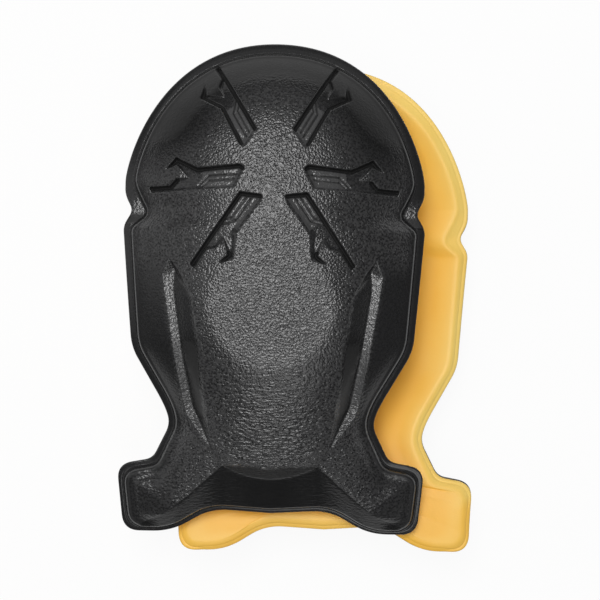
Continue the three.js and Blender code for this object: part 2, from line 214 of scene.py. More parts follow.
def bezier(points, steps):
    """Points of a Bezier curve through two, three or four control points."""
    rows = [np.array(point, float) for point in points]
    share = np.linspace(0, 1, steps + 1)[:, None]
    while len(rows) > 1:
        rows = [a + (b - a) * share for a, b in zip(rows, rows[1:])]
    return rows[0]


def rounded_corner(before, tip, after, reach):
    """Points of one corner, on a curve that meets both of its edges."""
    ends = []
    for other in (before, after):
        edge = np.array(other, float) - tip
        length = np.hypot(*edge)
        ends.append(tip + edge / length * min(reach, length * EDGE_SHARE))
    return bezier([ends[0], tip, ends[1]], CORNER_STEPS)


def half_outline(crown_y, side_x, corners, end_y):
    """Right half of an outline: the domed head, the corners, then the middle of the arched end."""
    side = np.array([side_x, HALF_LENGTH * HEAD_SIDE_SHARE])
    handle_y = side[1] + HALF_LENGTH * DOME_SIDE_SHARE
    dome = [(0, crown_y), (side_x * DOME_CROWN_SHARE, crown_y), (side_x, handle_y), side]
    tips = [side, *(np.array(corner[:2], float) for corner in corners), np.array([0, end_y])]
    runs = [bezier(dome, DOME_STEPS)]
    for index, corner in enumerate(corners, 1):
        runs.append(rounded_corner(tips[index - 1], tips[index], tips[index + 1], corner[2]))
    return np.vstack([*runs, tips[-1]])


def inset(line, distance):
    """A half outline moved inwards, square to itself, by one distance."""
    before = np.vstack([line[1] * [-1, 1], line[:-1]])
    after = np.vstack([line[1:], line[-2] * [-1, 1]])
    return line + sideways(unit(after - before)) * distance


cut_line = half_outline(HALF_LENGTH, HEAD_HALF, [(x, y, rim * reach) for x, y, rim, _, _, reach in CORNERS],
                        ARCH_MIDDLE_Y)
foot_line = half_outline(HALF_LENGTH - HEAD_RIM, HEAD_HALF - SIDE_RIM,
                         [(x - rim * across, y - rim * along, rim * reach)
                          for x, y, rim, across, along, reach in CORNERS],
                         ARCH_MIDDLE_Y + WING_RIM)
shoulder_line = inset(foot_line, WALL_DRAFT)


def towards_foot(y):
    return np.clip(-y / HALF_LENGTH, 0, 1)


def bend(y):
    """The pad bends down towards both ends."""
    return -END_DROP * (y / HALF_LENGTH) ** 2


def wall_at(y):
    return WALL_HEIGHT * (1 - WALL_LOSS * towards_foot(y) ** 2)


def crown_at(y):
    return CROWN_RISE * (1 - CROWN_LOSS * towards_foot(y) ** CROWN_SINKING)


def sunk(rise, end, y):
    return rise * np.maximum(1 - (towards_foot(y) / end) ** HOLLOW_SINKING, 0)


def domed(inward, fullness):
    return 1 - (1 - inward) ** fullness


def hollow_level(y, inward):
    return bend(y) - SHELL_RIM + sunk(HOLLOW_RISE, HOLLOW_END, y) * domed(inward, HOLLOW_FULLNESS)


def bowl_level(y, inward):
    return bend(y) + BOLSTER_LEVEL + sunk(BOWL_RISE, BOWL_END, y) * domed(inward, BOWL_FULLNESS)


def in_chunks(function, points, size=12000):
    """Runs a function of many points a part at a time, to keep its tables small."""
    count = max(1, math.ceil(len(points) / size))
    return np.concatenate([function(part) for part in np.array_split(points, count)])


def distance_to(points, line):
    """Distance of each point from a polyline."""
    start, run = line[:-1], np.diff(line, axis=0)
    square = np.maximum((run ** 2).sum(1), 1e-9)

    def nearest(part):
        away = part[:, None] - start
        share = np.clip((away * run).sum(2) / square, 0, 1)
        gap = away - share[..., None] * run
        return np.sqrt((gap ** 2).sum(2).min(1))

    return in_chunks(nearest, points)


def is_inside(points, loop):
    """Whether each point lies inside a closed loop."""
    start, end = loop, np.roll(loop, -1, 0)
    run = end - start
    run_y = np.where(np.abs(run[:, 1]) < 1e-9, 1e-9, run[:, 1])

    def odd(part):
        y = part[:, 1][:, None]
        spans = (start[:, 1] > y) != (end[:, 1] > y)
        cross_x = start[:, 0] + (y - start[:, 1]) * run[:, 0] / run_y
        return (spans & (part[:, 0][:, None] < cross_x)).sum(1) % 2 == 1

    return in_chunks(odd, points)


def whole(line):
    """Closed loop of a half outline and its mirror image."""
    return np.vstack([line, line[-2:0:-1] * [-1, 1]])


def inward_at(points):
    """How far in from the shoulder each point lies, as a share of the way to the spine."""
    start, edge = shoulder_line[:-1], np.diff(shoulder_line, axis=0)

    def share(part):
        spine_y = np.clip(part[:, 1], SPINE_FOOT, SPINE_TOP)
        away = np.stack([np.abs(part[:, 0]), part[:, 1] - spine_y], 1)
        from_spine = start - np.stack([np.zeros_like(spine_y), spine_y], 1)[:, None]
        with np.errstate(divide="ignore", invalid="ignore"):
            turn = cross(away[:, None], edge)
            along = cross(from_spine, away[:, None]) / turn
            reach = cross(from_spine, edge) / turn
            good = (along >= -1e-7) & (along <= 1 + 1e-7) & (reach > 0)
            reach = np.where(good, reach, np.inf).min(1)
            result = 1 - 1 / reach
        result[np.hypot(away[:, 0], away[:, 1]) < 1e-6] = 1
        return np.clip(result, 0, 1)

    return in_chunks(share, points)


def wing_inward(points):
    """The same share over the wings, which fall away from the bevel's ridge to their upper and outer edges."""
    start = int(np.argmax(shoulder_line[:, 1] < WING_EDGE_TOP))
    end = int(np.argmax(shoulder_line[:, 1] < WING_EDGE_END))
    run = np.vstack([shoulder_line[start:end], shoulder_line[end - 1] - [0, HALF_LENGTH]])
    across = np.abs(points[:, 0])
    away = distance_to(np.stack([across, points[:, 1]], 1), run)
    near_end = distance_to(np.stack([across, points[:, 1]], 1), shoulder_line)
    return away / np.maximum(away + across, 1e-6) * smooth_step(near_end / WING_HEEL)


def body_level(points):
    """Height of the plain body: rim, wall and domed crown, without its relief."""
    inside = is_inside(points, whole(foot_line))
    from_foot = np.where(inside, distance_to(np.abs(points) * [1, 0] + points * [0, 1], foot_line), 0)
    wall = np.clip(from_foot / WALL_FACE, 0, 1)
    y = points[:, 1]
    at_wings = fade(y, *WING_BLEND)
    inward = inward_at(points) * (1 - at_wings) + wing_inward(points) * at_wings
    lip = SHOULDER_SLOPE * np.clip(from_foot - WALL_FACE, 0, WALL_DRAFT - WALL_FACE) * (1 - inward) ** 3
    crown = crown_at(y) * domed(inward, CROWN_FULLNESS) + lip
    return bend(y) + wall_at(y) * wall + np.where(inside, crown, 0), inside


# The tongue, its side grooves and the bevel of the arched end, right side, in millimetres from the shares of
# the head's half width, or of the wing's half width, and of the pad's half length
TONGUE_FADE = (0.1 * HALF_LENGTH, -0.1 * HALF_LENGTH)
GROOVE_STATIONS = [
    ((0.671, 0.112), (0.662, 0.103), (0.655, 0.098)),
    ((0.715, 0.041), (0.637, 0.069), (0.602, 0.057)),
    ((0.702, -0.012), (0.644, -0.012), (0.519, -0.037)),
    ((0.64, -0.241), (0.586, -0.241), (0.461, -0.239)),
    ((0.575, -0.473), (0.516, -0.469), (0.421, -0.469)),
    ((0.556, -0.507), (0.484, -0.511), (0.417, -0.514)),
    ((0.394, -0.633), (0.386, -0.63), (0.38, -0.628)),
]
TONGUE_CORNER = (0.315 * HEAD_HALF, -0.698 * HALF_LENGTH)
TONGUE_END_Y = -0.7567 * HALF_LENGTH
BEVEL_RIDGE = [
    (0, -0.69), (0.16, -0.693), (0.305, -0.7), (0.436, -0.778),
    (0.53, -0.832), (0.625, -0.883), (0.748, -0.934), (0.86, -0.965),
]

groove_lines = [
    np.array([(station[line][0] * HEAD_HALF, station[line][1] * HALF_LENGTH) for station in GROOVE_STATIONS])
    for line in range(3)
]

# The outer wall of each groove is a ledge, nearly level across, cut into the side of the crown
ledge_widths = np.hypot(*(groove_lines[1] - groove_lines[0]).T)
groove_depths = body_level(groove_lines[1])[0] - body_level(groove_lines[0])[0] + ledge_widths * LEDGE_TILT
tongue_handle = (0, 2 * TONGUE_END_Y - TONGUE_CORNER[1])
tongue_corner_left = (-TONGUE_CORNER[0], TONGUE_CORNER[1])
half_arc = bezier([tongue_corner_left, tongue_handle, TONGUE_CORNER], ARC_STEPS)[ARC_STEPS // 2:]
tongue_side = np.vstack([groove_lines[2], TONGUE_CORNER])
tongue_loop = np.vstack([tongue_side, half_arc[::-1], tongue_side[::-1] * [-1, 1]])
ridge_line = np.array(BEVEL_RIDGE) * [WING_HALF, HALF_LENGTH]
arch_foot = foot_line[foot_line[:, 1] < WING_ROOT_Y][::-1]
arch_foot = arch_foot[: int(np.argmax(arch_foot[:, 0] > ridge_line[-1, 0])) + 1]


def raise_at(y):
    return TONGUE_RAISE * fade(y, *TONGUE_FADE)


def over_triangle(points, corners):
    """Which points lie inside one triangle, and the heights over it."""
    a, b, c = (corner[:2] for corner in corners)
    area = cross(b - a, c - a)
    u = cross(b - points, c - points) / area
    v = cross(c - points, a - points) / area
    w = 1 - u - v
    return (u >= 0) & (v >= 0) & (w >= 0), u * corners[0][2] + v * corners[1][2] + w * corners[2][2]


def groove_relief(points, relief):
    """Relief with the side groove's two walls laid over it, for points on the right side."""
    heights = [np.zeros(len(groove_depths)), -groove_depths, raise_at(groove_lines[2][:, 1])]
    edges = [np.column_stack(pair) for pair in zip(groove_lines, heights)]
    for near, far in zip(edges, edges[1:]):
        for index in range(len(near) - 1):
            a, b, c, d = near[index], far[index], far[index + 1], near[index + 1]
            for corners in ((a, b, c), (a, c, d)):
                inside, level = over_triangle(points, corners)
                relief = np.where(inside, level, relief)
    return relief


ridge_samples = np.stack([np.linspace(0, ridge_line[-1, 0], 90)] * 2, 1)
ridge_samples[:, 1] = np.interp(ridge_samples[:, 0], ridge_line[:, 0], ridge_line[:, 1])
ridge_levels = body_level(ridge_samples)[0]


def bevel_level(points):
    """Height of the bevel at the arched end, or a great height where it isn't."""
    x, y = points[:, 0], points[:, 1]
    ridge_y = np.interp(x, ridge_line[:, 0], ridge_line[:, 1])
    foot_y = np.interp(x, arch_foot[:, 0], arch_foot[:, 1])
    ridge_z = np.interp(x, ridge_samples[:, 0], ridge_levels) - BEVEL_DIP * (1 - fade(x, 6, 22))
    foot_z = bend(foot_y) + BEVEL_STEP + END_WALL * (1 - END_WALL_LOSS * fade(x, 44, 66))
    share = np.clip((ridge_y - y) / np.maximum(ridge_y - foot_y, 0.5), 0, 1)
    level = ridge_z + (foot_z - ridge_z) * share
    return np.where((y < ridge_y) & (x < ridge_line[-1, 0]), level, np.inf)


def bump_at(share, middle, half_width):
    return np.clip(1 - np.abs(share - middle) / half_width, 0, 1)


def by_notch(y, reach):
    """One level with the notch, and soon less above and below it."""
    return np.exp(-((y - NOTCH_Y) / reach) ** 2)


# The rim's bands, rounded corner and crease, and what the head, a notch and the wings change of them
INNER_SLOPE = 0.26
INNER_HEAD_LOSS = 0.18
INNER_NOTCH_LOSS = 0.8
OUTER_NOTCH_LOSS = 0.9
OUTER_WING_LOSS = 0.85
ROUNDING_DEPTH = 0.5
ROUNDING_SHARE = 0.16
ROUNDING_LOSS = 0.06
CREASE_SHARE = 0.88
CREASE_HALF_SHARE = 0.11
CREASE_SHIFT = 0.2
RIM_CREASE = 0.12
WING_CREASE = 0.2
NOTCH_REACH = 5.5


def rim_relief(points):
    """Relief of the rim: its outer band leans outwards, its inner band less, and its edge is rounded."""
    from_cut = distance_to(points, cut_line)
    width = from_cut + distance_to(points, foot_line)
    share = from_cut / np.maximum(width, 1e-6)
    y = points[:, 1]
    at_notch = by_notch(y, NOTCH_REACH)
    at_wings = fade(y, WING_ROOT_Y + 6, WING_ROOT_Y - 6)
    lean = RIM_LEAN * (1 - OUTER_NOTCH_LOSS * at_notch) * (1 - OUTER_WING_LOSS * at_wings)
    outer = width * np.clip(RIM_BREAK - share, 0, 1) * lean
    slope = (INNER_SLOPE - INNER_HEAD_LOSS * fade(y, 50, 105)) * (1 - INNER_NOTCH_LOSS * at_notch)
    inner = width * np.minimum(1 - share, 1 - RIM_BREAK) * slope
    rounded = np.clip(1 - share / (ROUNDING_SHARE - ROUNDING_LOSS * at_wings), 0, 1) ** 2
    crease = bump_at(share, CREASE_SHARE - CREASE_SHIFT * at_wings, CREASE_HALF_SHARE)
    crease_depth = RIM_CREASE + WING_CREASE * at_wings
    return -outer - inner - ROUNDING_DEPTH * rounded - crease_depth * crease


def plain_level(points):
    """Height of the shell's crown side without its fine relief, for points on the right side."""
    body, inside = body_level(points)
    bevel = bevel_level(points)
    cut = np.where(inside & np.isfinite(bevel), bevel, body)
    in_tongue = is_inside(points, tongue_loop)
    relief = np.where(in_tongue, raise_at(points[:, 1]), 0)
    relief = groove_relief(points, relief)
    face = np.clip(distance_to(points, half_arc) / TONGUE_FACE, 0, 1)
    level = np.where(in_tongue, cut + (body + relief - cut) * face, cut + relief)
    level = np.where(inside, level, bend(points[:, 1]))
    eased = CROWN_FLAT - CROWN_EASE
    over = level - eased
    return np.where(over > 0, eased + CROWN_EASE * np.tanh(over / CROWN_EASE), level)


# Outline of one recess, along its straight edge from the hub and across it towards the hook. Each corner also
# has the width of the wall that runs from it to the next one, first for a recess whose hook is on its upper
# side and then for one whose hook is on its lower side.
RECESS_CORNERS = [
    (-5, 8.5, 2.6, 2.6), (-2.6, 10.3, 3.6, 2.7), (17.5, 9.7, 2.3, 1.7),
    (28, 15.8, 2.2, 2.2), (34.2, 9.8, 1, 1), (27.8, 11.6, 0.9, 1.2),
    (22, 5.1, 1.6, 1.1), (28.5, 5.4, 1.6, 1.1), (31.6, 2.3, 1.7, 1.4),
    (42.3, 2.8, 0.8, 0.8), (41.6, -0.8, 1.1, 2.8), (0, -1, 2.4, 2.4),
]
RAMP_EDGES = (5, 6)
FORK_TIP = 6
FORK_CORNERS = [4, 5, 6, 7, 8]
RIB_LINES = [
    np.array([(-1.5, 5.4), (12.3, 5.4), (17.4, 1.2)]),
    np.array([(-1.5, 3.2), (12.5, 3), (15.3, 0.6)]),
]
recess_outline = np.array([corner[:2] for corner in RECESS_CORNERS], float)
recess_loop = np.vstack([recess_outline, recess_outline[:1]])

# How far across the floor deepens, edges with a slot at the head whichever way they face, and where ribs end
RECESS_SPAN = 10
HEAD_SLOT_EDGES = (1, 2, 3)
SLOT_INSET = 0.5
PAST_RIBS = 12.3
RIBS_END = 15.5

# The recesses of the right side: hub end of the straight edge, its direction in degrees, and whether the hook
# is on the upper side
RECESSES = [
    ((9.2, 74.8), 59.8, False),
    ((18.3, 47.9), -3.6, True),
    ((15.3, 44.6), -55.7, False),
]


def recess_axes(turn, hook_up):
    along = np.array([math.cos(math.radians(turn)), math.sin(math.radians(turn))])
    return along, np.array([-along[1], along[0]]) * (1 if hook_up else -1)


def into_recess(points, origin, turn, hook_up):
    along, over = recess_axes(turn, hook_up)
    return np.stack([(points - origin) @ along, (points - origin) @ over], 1)


def out_of_recess(places, origin, turn, hook_up):
    along, over = recess_axes(turn, hook_up)
    return np.array(origin) + places[:, :1] * along + places[:, 1:] * over


def facing_foot(edge, turn, hook_up):
    """How much a recess wall over one edge of the outline faces the arched end, from none to all."""
    along, over = recess_axes(turn, hook_up)
    run = edge[1] - edge[0]
    cushion_shade = np.array([run[1], -run[0]]) / np.hypot(*run)
    faces_y = cushion_shade[0] * along[1] + cushion_shade[1] * over[1]
    return float(smooth_step((-faces_y - 0.15) / 0.35))


def recess_parts(points):
    """The recesses' negative relief, how much painted shade each point gets in a slot, and where their ribbed
    floors are.
    """
    relief, painted_shade, ribbed = (np.zeros(len(points)) for _ in range(3))
    for origin, turn, hook_up in RECESSES:
        places = into_recess(points, origin, turn, hook_up)
        near = ((places > (-8, -4)) & (places < (46, 19))).all(1)
        here = places[near]
        if not len(here):
            continue
        inside = is_inside(here, recess_outline)
        fork = is_inside(here, recess_outline[FORK_CORNERS])
        high = np.clip(here[:, 1] / RECESS_SPAN, 0, 1)
        high = high if hook_up else 1 - high
        floor = SHALLOW_FLOOR + (DEEP_FLOOR - SHALLOW_FLOOR) * high
        from_tip = np.hypot(*(here - recess_outline[FORK_TIP]).T)
        ramp = floor * np.clip(1 - from_tip / RAMP_LENGTH, 0, 1)
        depth = floor.copy()
        trench = np.zeros(len(here))
        for index, corner in enumerate(RECESS_CORNERS):
            edge = recess_loop[index:index + 2]
            under = facing_foot(edge, turn, hook_up) * (index not in RAMP_EDGES)
            under = max(under, 0.9 * (turn > 0 and index in HEAD_SLOT_EDGES))
            width = corner[2 if hook_up else 3] * (1 - under) + TRENCH_WALL * under
            away = distance_to(here, edge)
            depth = np.minimum(depth, away / width * floor + (ramp if index in RAMP_EDGES else 0))
            far_side = np.clip((TRENCH_WIDTH - away) / (TRENCH_WIDTH - TRENCH_WALL), 0, 1)
            trench = np.maximum(trench, TRENCH_DEPTH * under * np.minimum(away / TRENCH_WALL, far_side))
        inset_wall = np.clip(distance_to(here, recess_loop) / SLOT_INSET, 0, 1)
        fan = (here[:, 1] < 5.4) & (here[:, 0] > 18 - here[:, 1] * 5.1 / 4.2)
        settled = np.clip(depth / floor * 3 - 2, 0, 1)
        depth = depth + np.where(fan | (here[:, 0] > PAST_RIBS), FAN_DROP, 0) * settled
        for line in RIB_LINES:
            near_line = np.clip(1 - distance_to(here, line) / (RIB_GROOVE_WIDTH / 2), 0, 1)
            trench = np.maximum(trench, RIB_GROOVE_DEPTH * near_line * settled)
        # Painted shade fills the trenches of the slots
        painted_shade[near] = np.maximum(painted_shade[near], np.clip(trench / RIB_GROOVE_DEPTH, 0, 1) * inset_wall * inside)
        on_ribs = (depth > 0.5 * floor) & (here[:, 0] < RIBS_END) & ~fork
        ribbed[near] = np.maximum(ribbed[near], on_ribs * inside * (1 - painted_shade[near]))
        depth = np.where(inside, depth + trench * inset_wall, np.where(fork, ramp, 0))
        relief[near] = np.minimum(relief[near], -depth)
    return relief, painted_shade, ribbed


def stretch_relief(points):
    """Two faint raised lines in the skin, beside the notches, for points on the right side."""
    return STRETCH_HEIGHT * np.clip(1 - distance_to(points, STRETCH_LINE) / STRETCH_HALF, 0, 1)


def fine_level(points):
    """Fine relief of the crown side, which is rounded less than the rest."""
    inside = is_inside(points, whole(foot_line))
    settled = smooth_step(distance_to(points, foot_line) / RECESS_FADE)
    return np.where(inside, recess_parts(points)[0] * settled + stretch_relief(points), rim_relief(points))


BROAD_DISC = ((0.55, 6), (1, 6))
FINE_DISC = ((1, 6),)


def softened(function, points, radius, disc):
    """Mean of a function over a small disc of rings, each a share of the radius and a number of points."""
    total, count = function(points), 1
    for share, steps in disc:
        for step in range(steps):
            angle = 2 * math.pi * (step + share) / steps
            shift = np.array([math.cos(angle), math.sin(angle)]) * radius * share
            moved = points + shift
            moved[:, 0] = np.abs(moved[:, 0])
            total = total + function(moved)
            count += 1
    return total / count


def resampled(line, step):
    """Points along a polyline, its corners kept, no further apart than the step."""
    rows = [line[:1]]
    for start, end in zip(line, line[1:]):
        count = max(1, math.ceil(np.hypot(*(end - start)) / step))
        rows.append(start + (end - start) * np.linspace(0, 1, count + 1)[1:, None])
    return np.vstack(rows)


def thinned(line, step):
    """Points along a smooth polyline, no closer than the step, its ends kept."""
    kept = [line[0]]
    for point in line[1:-1]:
        if np.hypot(*(point - kept[-1])) >= step and np.hypot(*(point - line[-1])) >= step / 2:
            kept.append(point)
    return np.vstack([kept, line[-1:]])


def offset_line(line, distance):
    """An open polyline moved sideways."""
    return line + sideways(unit(np.gradient(line, axis=0))) * distance


def offset_loop(loop, distance):
    """A closed polygon whose edges are moved sideways and meet again, at most a little past their corners."""
    before, after = unit(loop - np.roll(loop, 1, 0)), unit(np.roll(loop, -1, 0) - loop)
    middle = sideways(before) + sideways(after)
    scale = 2 / np.maximum((middle ** 2).sum(1), 0.6)
    return loop + middle * scale[:, None] * distance


# Lines of the fine mesh: shares of the way over the rim, distances in from the foot, shifts of the tongue's end
RIM_SHARES = (0.06, 0.13, 0.22, 0.33, 0.42, 0.5, 0.58, 0.66, 0.73, 0.8, 0.86, 0.93, 1)
WALL_INSETS = (0.3, 0.6, 0.95, 1.3, 1.8, 2.5, 3.4, 4.4)
FACE_SHIFTS = (-6.8, -6, -5.2, -3.6, -1.8, -0.6, 0, 0.6)

# Steps along the lines and between the points of the grids, and the gaps kept between them
EDGE_STEP = 0.9
RIM_STEP = 1.1
WALL_STEP = 1.2
FACE_STEP = 0.8
RECESS_STEP = 0.5
RECESS_GAP = 0.27
PLAIN_STEP = 1.5
PLAIN_GAP = 0.82
AXIS_STEP = 1.2
LEAST_GAP = 0.1


def feature_lines():
    """Polylines of the right half that the fine mesh follows, each with the step along it."""
    lines = [(cut_line + (foot_line - cut_line) * share, RIM_STEP) for share in RIM_SHARES]
    lines.extend((inset(foot_line, distance), WALL_STEP) for distance in WALL_INSETS)
    for line in (*groove_lines, tongue_side[-2:]):
        for shift in (-FILLET, -FILLET / 2, 0, FILLET / 2, FILLET):
            lines.append((offset_line(line, shift), EDGE_STEP))
    for shift in FACE_SHIFTS:
        handles = np.array([tongue_corner_left, tongue_handle, TONGUE_CORNER]) - [0, shift]
        lines.append((bezier(handles, ARC_STEPS)[ARC_STEPS // 2:], FACE_STEP))
    for shift in (-FILLET, 0, FILLET):
        lines.append((offset_line(ridge_line, shift), EDGE_STEP))
    for shift in (-STRETCH_HALF, 0, STRETCH_HALF):
        lines.append((STRETCH_LINE + [shift, 0], FACE_STEP))
    for recess in RECESSES:
        for shift in (-FINE_FILLET, 0, FINE_FILLET):
            loop = offset_loop(recess_outline, shift)
            lines.append((out_of_recess(np.vstack([loop, loop[:1]]), *recess), RECESS_STEP))
        for line in RIB_LINES:
            for shift in (-RIB_GROOVE_WIDTH / 2, 0, RIB_GROOVE_WIDTH / 2):
                lines.append((out_of_recess(offset_line(line, shift), *recess), RECESS_STEP))
    return lines


def axis_points(lines):
    """Points up the middle of the pad, with one wherever a feature line meets it."""
    bottom, top = boundary[-1][1], boundary[0][1]
    levels = []
    for y in sorted(line[end][1] for line, _ in lines for end in (0, -1) if abs(line[end][0]) < LEAST_GAP / 2):
        if bottom + LEAST_GAP < y < top - LEAST_GAP and (not levels or y - levels[-1] > LEAST_GAP):
            levels.append(y)
    regular = np.linspace(bottom, top, math.ceil((top - bottom) / AXIS_STEP))[1:-1]
    levels.extend([y for y in regular if np.abs(np.array(levels) - y).min() > 0.4])
    return np.array([(0, y) for y in sorted(levels)])


def hex_grid(low, high, step):
    rows = np.arange(low[1], high[1], step * math.sqrt(3) / 2)
    columns = np.arange(low[0], high[0], step)
    return np.array([(x + (row % 2) * step / 2, y) for row, y in enumerate(rows) for x in columns])


def recess_grid():
    """Close-set points over the recesses of the right half."""
    places = hex_grid((-7, -3), (45, 18), RECESS_STEP)
    near = is_inside(places, recess_outline) | (distance_to(places, recess_loop) < 0.9)
    return np.vstack([out_of_recess(places[near], *recess) for recess in RECESSES])


def finder_of(points):
    """A finder of the nearest of some plan points."""
    finder = KDTree(len(points))
    for index, point in enumerate(points):
        finder.insert((point[0], point[1], 0), index)
    finder.balance()
    return finder


boundary = thinned(resampled(cut_line, EDGE_STEP), 0.85)


def right_half_plan():
    """Plan points and triangles of the right half, finest along its features."""
    loop = whole(cut_line)
    points, edges = [], []

    def add_line(line):
        start = len(points)
        points.extend(map(tuple, line))
        edges.extend((start + k, start + k + 1) for k in range(len(line) - 1))

    add_line(boundary)
    lines = feature_lines()
    axis = axis_points(lines)
    start = len(points)
    points.extend(map(tuple, axis))
    run = [len(boundary) - 1, *range(start, start + len(axis)), 0]
    edges.extend(zip(run, run[1:]))
    for line, step in lines:
        fine = thinned(resampled(line, step), step * 0.8)
        good = is_inside(fine, loop) & (fine[:, 0] > 0.3) & (distance_to(fine, cut_line) > 0.15)
        for group in np.split(np.arange(len(fine)), np.where(np.diff(good.astype(int)) != 0)[0] + 1):
            if good[group[0]] and len(group) > 1:
                add_line(fine[group])
    plain_grid = hex_grid((PLAIN_STEP, -HALF_LENGTH), (WING_HALF, HALF_LENGTH), PLAIN_STEP)
    for grid, gap in ((recess_grid(), RECESS_GAP), (plain_grid, PLAIN_GAP)):
        near = finder_of(points)
        grid = grid[is_inside(grid, loop) & (grid[:, 0] > 0.3)]
        points.extend(tuple(point) for point in grid if near.find((*point, 0))[2] > gap)
    verts, _, faces, _, _, _ = delaunay_2d_cdt([Vector(point) for point in points], edges, [], 0, 1e-5)
    verts = np.array([tuple(v) for v in verts])
    faces = np.array([tuple(face) for face in faces])
    middles = verts[faces].mean(1)
    return verts, faces[is_inside(middles, loop) & (middles[:, 0] > 0)]


# How much grain, and painted glint with it, is left at the body's foot, and what is lost or gained elsewhere
EDGE_GRAIN = 0.3
WING_LOSS = 0.6
RIDGE_GAIN = 0.35
RECESS_LOSS = 0.45
STEEP_LOSS = 0.6
GRAIN_REACH = 5

# How much painted shade, with dullness, each place gets, and how edges are paled and ribs, ledges and the
# tongue's sides get a painted highlight
FACE_SHADE = 0.9
BEVEL_SHADE = 0.5
HEAD_SHADE = 0.75
WALL_SHADE = 0.72
LIP_SHADE = 0.85
RIB_HIGHLIGHT = 1.5
LEDGE_HIGHLIGHT = 1.7
SIDE_HIGHLIGHT = 0.6
SIDE_HIGHLIGHT_HALF = 0.45
EDGE_PALING_HEIGHT = 0.12
FINISH_BLUR = 0.5


def groove_x(y):
    """How far from the middle a groove's outer edge, valley and inner edge lie, at places along the pad."""
    return [np.interp(-y, -line[:, 1], line[:, 0]) for line in groove_lines]


def on_tongue_wall(points):
    """How far each point lies on the wall between a groove's valley and the tongue."""
    across = np.abs(points[:, 0])
    _, valley, inner = groove_x(points[:, 1])
    return fade(valley - across, 0, 0.8) * fade(across - inner, 0, 1.5)


def grain_at(points):
    """How strong the moulded grain and the painted glint on its pebble tops are: full on the crown, faint on the
    rim, the bevel and the pad's flanks.
    """
    inside = is_inside(points, whole(foot_line))
    across, y = np.abs(points[:, 0]), points[:, 1]
    on_flank = fade(across - groove_x(y)[0], -0.5, 2)
    smooth = np.maximum(on_flank, on_tongue_wall(points)) * fade(y, 18, 2) * fade(y, -76, -60)
    on_bevel = np.isfinite(bevel_level(points)) & ~is_inside(points, tongue_loop)
    on_wing = fade(across, 40, 54) * fade(y, -78, -88)
    by_ridge = fade(across, 48, 32) * fade(y, -74, -82)
    steep_head = fade(inward_at(points), 0.62, 0.22) * fade(y, 40, 70)
    body = EDGE_GRAIN + (1 - EDGE_GRAIN) * fade(distance_to(points, foot_line), 1.5, 6.5)
    body = body * (1 - SMOOTH_SIDE * smooth) * (1 - WING_LOSS * on_wing + RIDGE_GAIN * by_ridge)
    body = np.where(on_bevel, BEVEL_GRAIN, body)
    body = body * (1 - RECESS_LOSS * fade(-recess_parts(points)[0], 0, 0.8))
    body = body * (1 + FOOT_GRAIN * fade(y, -30, -70)) * (1 - STEEP_LOSS * steep_head)
    return np.where(inside, body, RIM_GRAIN + (1 - RIM_GRAIN) * by_notch(y, GRAIN_REACH))


def painted_shade_at(points):
    """How much painted shade, with dullness, the skin gets round the tongue, on the bevel, at the head's edge and
    below a notch.
    """
    inside = is_inside(points, whole(foot_line))
    in_tongue = is_inside(points, tongue_loop)
    y = points[:, 1]
    on_face = in_tongue & (distance_to(points, half_arc) < TONGUE_FACE) & (y < TONGUE_CORNER[1])
    on_bevel = np.isfinite(bevel_level(points)) & ~in_tongue & inside
    lip = fade(NOTCH_Y - y, 0.8, 2) * fade(NOTCH_Y - y, 8, 6)
    head_edge = fade(inward_at(points), 0.5, 0.15) * fade(y, 50, 80)
    on_wall = on_tongue_wall(points) * fade(y, -18, -30) * fade(y, -78, -70)
    body = np.maximum(HEAD_SHADE * head_edge, WALL_SHADE * on_wall)
    body = np.where(on_face, FACE_SHADE, np.where(on_bevel, BEVEL_SHADE, body))
    return np.where(inside, body, LIP_SHADE * lip)


def edge_paling_and_highlight_at(points, rounded_off, ribbed):
    """How much the skin is paled along edges, by how much is rounded off, and given a painted highlight on the
    ribs, on the ledges and along the tongue's sides.
    """
    across, y = np.abs(points[:, 0]), points[:, 1]
    outer, valley, _ = groove_x(y)
    on_ledge = fade(outer - across, 0, 0.6) * fade(across - valley, 0, 0.6)
    on_ledge = on_ledge * fade(y, 6, 2) * fade(y, -78, -74)
    on_side = np.clip(1 - distance_to(points, tongue_side) / SIDE_HIGHLIGHT_HALF, 0, 1)
    edges = np.clip(rounded_off / EDGE_PALING_HEIGHT, 0, 1)
    return np.max([edges, RIB_HIGHLIGHT * ribbed, LEDGE_HIGHLIGHT * on_ledge, SIDE_HIGHLIGHT * on_side], 0)


def crown_side():
    """Points and triangles of the shell's crown side, both halves, with four finish values for each point."""
    plan, faces = right_half_plan()
    level = softened(plain_level, plan, FILLET, BROAD_DISC) + softened(fine_level, plan, FINE_FILLET, FINE_DISC)
    sharp = plain_level(plan) + fine_level(plan)
    _, painted_shade, ribbed = recess_parts(plan)
    grain = softened(grain_at, plan, FINISH_BLUR, FINE_DISC)
    # Dullness together with painted shade, from the slots and from the places turned from the light
    dull = np.maximum(painted_shade, softened(painted_shade_at, plan, FINISH_BLUR, FINE_DISC))
    stretch = fade(plan[:, 1], -18, -68)
    used = np.unique(faces)
    number = np.full(len(plan), -1)
    number[used] = np.arange(len(used))
    edge_paling_and_highlight = edge_paling_and_highlight_at(plan, sharp - level, ribbed)
    right = np.column_stack([plan, level, grain, stretch, edge_paling_and_highlight, dull])[used]
    faces = number[faces]
    on_axis = np.abs(right[:, 0]) < 1e-4
    right[on_axis, 0] = 0
    mirror = np.where(on_axis, np.arange(len(right)), 0)
    mirror[~on_axis] = len(right) + np.arange((~on_axis).sum())
    left = right[~on_axis]
    left[:, 0] *= -1
    both = np.vstack([right, left])
    points, finish = both[:, :3], both[:, 3:]
    faces = np.vstack([faces, mirror[faces][:, ::-1]])
    a, b, c = (points[faces[:, k]] for k in range(3))
    flip = np.cross(b - a, c - a)[:, 2] < 0
    faces[flip] = faces[flip][:, ::-1]
    return points, faces, finish


